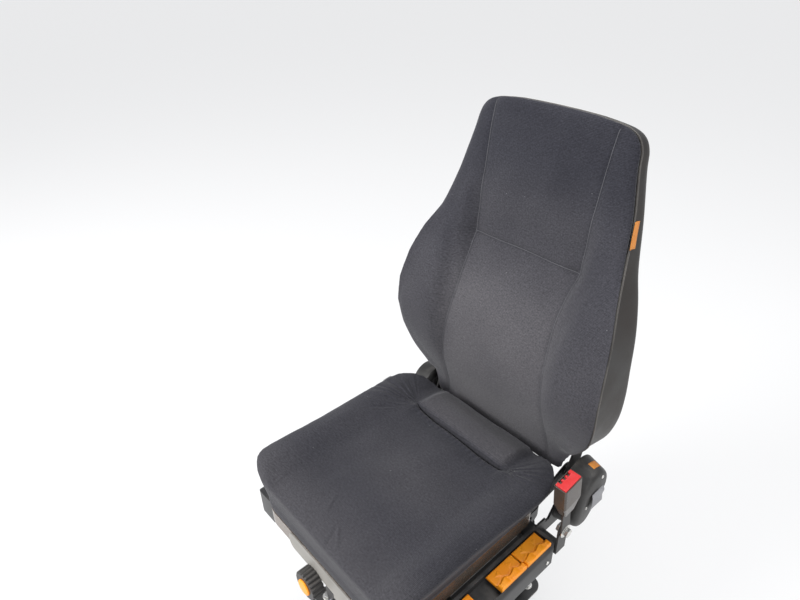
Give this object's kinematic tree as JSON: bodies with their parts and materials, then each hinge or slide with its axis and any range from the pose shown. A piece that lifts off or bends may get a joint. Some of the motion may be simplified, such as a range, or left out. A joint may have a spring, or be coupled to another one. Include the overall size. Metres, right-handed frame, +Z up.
{
  "type": "bus driver's seat",
  "caption": "Air-sprung driver's seat with a high winged back, side consoles with orange control levers, belt buckle, folded boot and floor slide.",
  "frame": {"origin": "centre of the four floor bolts, on the floor plate's underside", "axes": "+Z up, the seat faces -Y, +X to the sitter's left, the side with the levers and the buckle"},
  "size_m": [0.546, 0.6927, 1.1215],
  "materials": {
    "black_steel": "satin black powder coat",
    "rail_steel": "zinc-plated, dull",
    "plated_steel": "bright zinc plate",
    "boot_rubber": "matt coated cloth",
    "black_plastic": "fine grain, satin",
    "black_gloss": "semi-gloss",
    "console_plastic": "fine grain, dark grey",
    "shell_plastic": "grained, brownish black",
    "grey_plastic": "fine grain, warm grey",
    "orange_plastic": "satin",
    "red_plastic": "satin",
    "charcoal_fabric": "fine flat weave, charcoal grey",
    "belt_fabric": "woven webbing, black"
  },
  "bodies": {
    "floor": {"floor_plate": "black_steel", "fixed_rail_left": "rail_steel", "fixed_rail_right": "rail_steel"},
    "carriage": {"moving_rail_left": "rail_steel", "moving_rail_right": "rail_steel", "slide_bar": "black_steel", "base_pan": "black_steel", "boot": "boot_rubber", "head_pan": "black_steel", "cross_member_front": "black_steel", "cross_member_rear": "black_steel", "cheek_left": "black_steel", "cheek_right": "black_steel", "recliner_pin_left": "plated_steel", "recliner_pin_right": "plated_steel", "recliner_cover_left": "black_plastic", "recliner_cover_right": "black_plastic", "lever_console": "console_plastic", "side_console": "console_plastic", "lever_1": "orange_plastic", "lever_2": "orange_plastic", "lever_3": "orange_plastic", "lever_4": "orange_plastic", "buckle_bracket": "black_steel", "buckle_bolt": "plated_steel", "belt_reel": "black_plastic", "belt_web": "belt_fabric", "belt_tongue": "plated_steel"},
    "tilt_frame": {"tilt_rail_left": "black_steel", "tilt_rail_right": "black_steel", "tilt_bar_front": "black_steel", "tilt_bar_rear": "black_steel"},
    "cushion": {"cushion_pan": "black_gloss", "guide_shoes_left": "black_plastic", "guide_shoes_right": "black_plastic", "cushion_pad": "charcoal_fabric", "front_apron": "grey_plastic", "front_knob": "black_plastic", "knob_cap": "orange_plastic"},
    "backrest": {"back_shell": "shell_plastic", "back_pad": "charcoal_fabric", "recliner_arm_left": "black_steel", "recliner_arm_right": "black_steel"},
    "buckle": {"buckle_stalk": "black_steel", "buckle_body": "black_gloss", "buckle_button": "red_plastic"}
  },
  "joints": [
    {"name": "seat_slide", "type": "slide", "parent": "floor", "child": "carriage", "axis": [0, -1, 0], "range_m": [-0.08, 0.08]},
    {"name": "cushion_tilt", "type": "hinge", "parent": "carriage", "child": "tilt_frame", "pos_m": [0, 0.235, 0.398], "axis": [-1, 0, 0], "range_deg": [-2, 4]},
    {"name": "cushion_depth", "type": "slide", "parent": "tilt_frame", "child": "cushion", "axis": [0, -1, 0], "range_m": [0, 0.06]},
    {"name": "backrest_recline", "type": "hinge", "parent": "carriage", "child": "backrest", "pos_m": [0, 0.235, 0.398], "axis": [-1, 0, 0], "range_deg": [-5, 25]},
    {"name": "buckle_pivot", "type": "hinge", "parent": "carriage", "child": "buckle", "pos_m": [0.264, 0.119, 0.386], "axis": [1, 0, 0], "range_deg": [-5, 35]}
  ]
}
